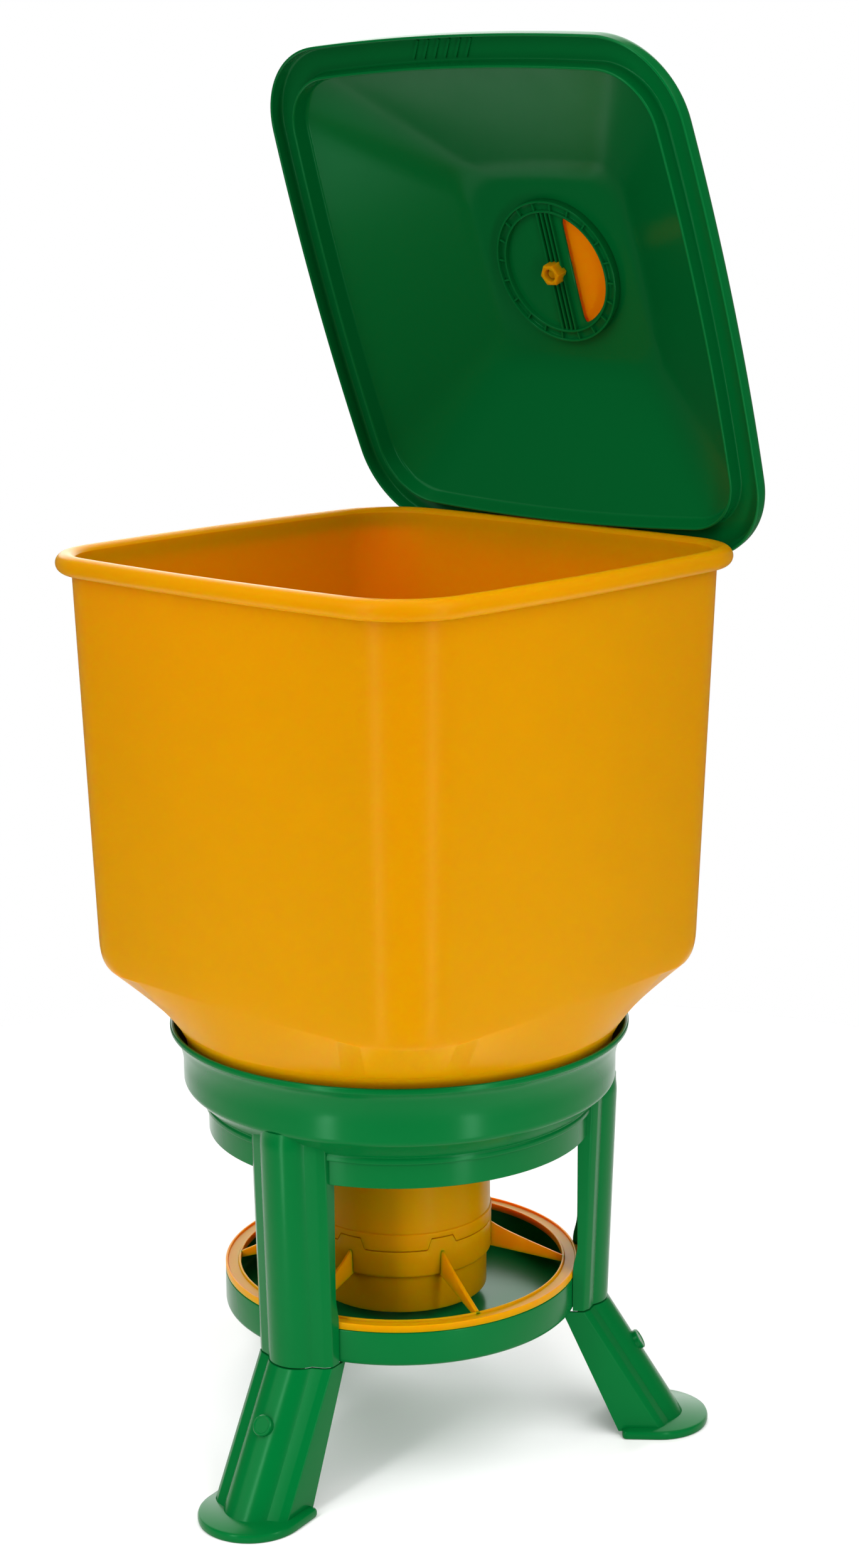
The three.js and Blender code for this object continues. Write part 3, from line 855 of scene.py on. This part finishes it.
class FEEDER_OT_vent_cap(bpy.types.Operator):
    """Turning vent cap over the lid, with its grip, and the hexagonal nut that holds it"""

    bl_idname = "feeder.vent_cap"
    bl_label = "Vent cap and nut"

    def execute(self, context):
        under = mm("plateau_height") + 0.4
        plate = spun([(pierced(55, 45, 14, under, under + 3), True, True)], 180)
        rim = [(53.6, under), (56, under + 1), (56, under + 3), (53.5, under + 4.6), (51, under + 3)]
        boss_rows = [
            ((0, under - 13), 0),
            ((3.6, under - 13), 0.6),
            ((4.5, under - 11), 0.6),
            ((4.5, under + 1), 0.5),
            ((10, under + 2), 0.5),
            ((10, under + 6.5), 1),
            ((8, under + 7.5), 1),
            ((0, under + 7.5), 0),
        ]
        boss = eased(boss_rows, 3, closed=False)
        share = np.linspace(0, 1, 24)[:, None]
        across = np.linspace(-1, 1, 9)[None]
        # the grip is a ridge whose height follows a cosine along it and falls off at its ends
        height = 12 * np.sqrt(np.clip(1 - (2 * share - 1) ** 4, 0, 1)) * (1 - across**4 * 0.35)
        x = 3.2 * across + 0 * share
        y = -40 + 80 * share + 0 * across
        grip_top = np.stack([x, y, under + 2.5 + height], -1)
        grip_low = grip_top * [1.25, 1, 0] + [0, 0, under + 1.5]
        parts = [
            *plate,
            (turned(rounded(rim, 0.8, 3), 120), True, True),
            (turned(boss, 48), False, True),
            *slab(grip_top, grip_low),
        ]
        put_piece("vent_cap_moulding", opened(parts), "yellow_plastic", "vent_cap", "vent_cap")

        top = mm("plateau_height") - SKIN - 0.4 - 2.4
        rows = [
            (4.9, top),
            (8.6, top),
            (9, top - 0.5),
            (9, top - 10),
            (8.2, top - 11),
            (5.4, top - 11),
            (4.9, top - 10.4),
        ]
        turn = np.linspace(0, 2 * np.pi, 96, endpoint=False)
        # a hexagon's reach is its flat's distance over the cosine of the angle from the flat
        corner = np.cos(np.pi / 6) / np.cos(np.mod(turn, np.pi / 3) - np.pi / 6)
        nut = turned(rounded(rows, 0.3, 2), 96)
        outside = (np.linalg.norm(nut[..., :2], axis=-1) > 6)[..., None]
        nut = np.concatenate([nut[..., :2] * np.where(outside, corner[None, :, None], 1), nut[..., 2:]], -1)
        put_piece("vent_nut_hexagon", opened([(nut, True, True)]), "yellow_plastic", "vent_cap", "vent_nut")
        return {"FINISHED"}


class FEEDER_OT_hinge_clips(bpy.types.Operator):
    """Two clips that hook round the rim's bead at the back, so that the lid turns on it"""

    bl_idname = "feeder.hinge_clips"
    bl_label = "Hinge clips"

    def execute(self, context):
        bead = (mm("rim_half") - mm("bead_radius"), mm("rim_top") - mm("bead_radius"))
        outside, inside = (arc(bead, radius, -19, 60, 20) for radius in (10.1, 8.2))
        for side, x in (("left", -60), ("right", 60)):
            across = np.linspace(-12, 12, 5)[:, None] + x
            faces = [
                np.stack(np.broadcast_arrays(across, line[None, :, 0], line[None, :, 1]), -1)
                for line in (outside, inside)
            ]
            name = f"hinge_clip_{side}"
            put_piece(f"{name}_hook", opened(slab(*faces)), "green_plastic", "lid", name, bevel=0.5)
        return {"FINISHED"}


# ---------------------------------------------------------------- floor, lights and camera


def outward(azimuth, elevation):
    """The unit vector from the feeder towards a place round it, for angles in degrees: (sin a cos e,
    -cos a cos e, sin e)."""
    a, e = math.radians(azimuth), math.radians(elevation)
    return Vector((math.sin(a) * math.cos(e), -math.cos(a) * math.cos(e), math.sin(e)))


class FEEDER_OT_stage(bpy.types.Operator):
    """Pale floor, soft lights and the camera"""

    bl_idname = "feeder.stage"
    bl_label = "Floor, lights and camera"

    @staticmethod
    def place_lamp(scene, light, azimuth, elevation, distance):
        """Aims a lamp at the feeder's middle from a direction, out of the camera's sight."""
        lamp = bpy.data.objects.new(light.name, light)
        scene.collection.objects.link(lamp)
        away = outward(azimuth, elevation)
        lamp.location = Vector((AXIS[0], AXIS[1], 0.72)) + away * distance
        lamp.rotation_euler = away.to_track_quat("Z", "Y").to_euler()
        lamp.visible_camera = False

    def execute(self, context):
        scene = context.scene
        scene.view_settings.view_transform = "Standard"
        floor_mesh = bpy.data.meshes.new("floor")
        turn = np.linspace(0, 2 * np.pi, 64, endpoint=False)
        reach = 1.1
        rim = np.stack([reach * np.cos(turn), reach * np.sin(turn), 0 * turn], -1) + AXIS
        floor_mesh.from_pydata(rim, [], [tuple(range(len(rim)))])
        floor = bpy.data.objects.new("floor", floor_mesh)
        scene.collection.objects.link(floor)
        paint = bpy.data.materials.new("matt_white_floor_paint")
        paint.use_nodes = True
        surface = paint.node_tree.nodes["Principled BSDF"]
        surface.inputs["Base Color"].default_value = linear(hex_colour("#F4F4F4"))
        surface.inputs["Roughness"].default_value = 0.9
        surface.inputs["Specular IOR Level"].default_value = 0.1
        floor_mesh.materials.append(paint)

        # white to look at, and about a seventh as bright where it lights the plastics, so colours stay deep
        world = bpy.data.worlds.new("white_studio")
        scene.world = world
        world.use_nodes = True
        tree = world.node_tree
        tree.nodes.clear()
        seen = add_node(tree, "ShaderNodeLightPath").outputs["Is Camera Ray"]
        dim = add_node(tree, "ShaderNodeBackground", {"Color": (1, 1, 1, 1), "Strength": 0.15})
        bright = add_node(tree, "ShaderNodeBackground", {"Color": (1, 1, 1, 1), "Strength": 1.0})
        sky = add_node(tree, "ShaderNodeMixShader", links={"Fac": seen})
        tree.links.new(dim.outputs[0], sky.inputs[1])
        tree.links.new(bright.outputs[0], sky.inputs[2])
        add_node(tree, "ShaderNodeOutputWorld", links={"Surface": sky.outputs[0]})

        # direction round the feeder from its front, elevation, apparent size in degrees, and strength
        lights = (
            ("large_softbox_left", -16, 36, 50, 1.15),
            ("large_softbox_right", 101, 36, 50, 1.15),
            ("overhead_softbox", 42, 80, 60, 1.2),
            ("back_softbox", 222, 30, 60, 2.6),
        )
        for name, azimuth, elevation, size, strength in lights:
            light = bpy.data.lights.new(name, "SUN")
            light.angle, light.energy = math.radians(size), strength
            self.place_lamp(scene, light, azimuth, elevation, 3)
        # two tall strips that stand on the floor and show as soft lines in the rounded corner and the collar
        for name, azimuth in (("strip_softbox_left", 9.5), ("strip_softbox_right", 76)):
            light = bpy.data.lights.new(name, "AREA")
            light.shape, light.size, light.size_y, light.energy = "RECTANGLE", 0.07, 1.4, 3.2
            self.place_lamp(scene, light, azimuth, 0, 0.62)

        camera_data = bpy.data.cameras.new("camera")
        camera_data.lens, camera_data.sensor_width = 62.31, 36
        camera_data.clip_start, camera_data.clip_end = 0.1, 100
        camera = bpy.data.objects.new("camera", camera_data)
        scene.collection.objects.link(camera)
        azimuth, elevation, roll = 42.71, 12.96, math.radians(-0.35)
        distance, across, above = 2.06781, 0.02344, 0.1103
        back = outward(azimuth, elevation)
        level = outward(azimuth + 90, 0)
        upright = back.cross(level)
        right = math.cos(roll) * level + math.sin(roll) * upright
        up = math.cos(roll) * upright - math.sin(roll) * level
        aim = Vector((AXIS[0], AXIS[1], 0.4))
        place = aim + back * distance + right * across + up * above
        camera.matrix_world = Matrix.Translation(place) @ Matrix((right, up, back)).transposed().to_4x4()
        scene.camera = camera
        return {"FINISHED"}


class FEEDER_PT_pieces(bpy.types.Panel):
    """Lists the feeder's pieces in the sidebar."""

    bl_idname = "FEEDER_PT_pieces"
    bl_label = "Tripod Feeder"
    bl_space_type = "VIEW_3D"
    bl_region_type = "UI"
    bl_category = "Feeder"

    def draw(self, context):
        layout = self.layout
        for operator in OPERATORS:
            layout.operator(operator.bl_idname)
        for group in (context.scene.feeder_sizes, context.scene.feeder_colours):
            for name in group.__annotations__:
                layout.prop(group, name)


OPERATORS = (
    FEEDER_OT_hopper,
    FEEDER_OT_feed_tube,
    FEEDER_OT_collar,
    FEEDER_OT_legs,
    FEEDER_OT_feet,
    FEEDER_OT_pan,
    FEEDER_OT_grid,
    FEEDER_OT_lid,
    FEEDER_OT_vent_disc,
    FEEDER_OT_vent_cap,
    FEEDER_OT_hinge_clips,
    FEEDER_OT_stage,
)
CLASSES = (FeederSizes, FeederColours, *OPERATORS, FEEDER_PT_pieces)


def register():
    """Registers the classes and hangs the sizes and colours on the scene."""
    for cls in CLASSES:
        bpy.utils.register_class(cls)
    bpy.types.Scene.feeder_sizes = PointerProperty(type=FeederSizes)
    bpy.types.Scene.feeder_colours = PointerProperty(type=FeederColours)


def unregister():
    """Takes the classes and the scene's properties away."""
    del bpy.types.Scene.feeder_colours
    del bpy.types.Scene.feeder_sizes
    for cls in reversed(CLASSES):
        bpy.utils.unregister_class(cls)


def main():
    register()
    for operator in OPERATORS:
        group, name = operator.bl_idname.split(".")
        getattr(getattr(bpy.ops, group), name)()


if __name__ == "__main__":
    main()
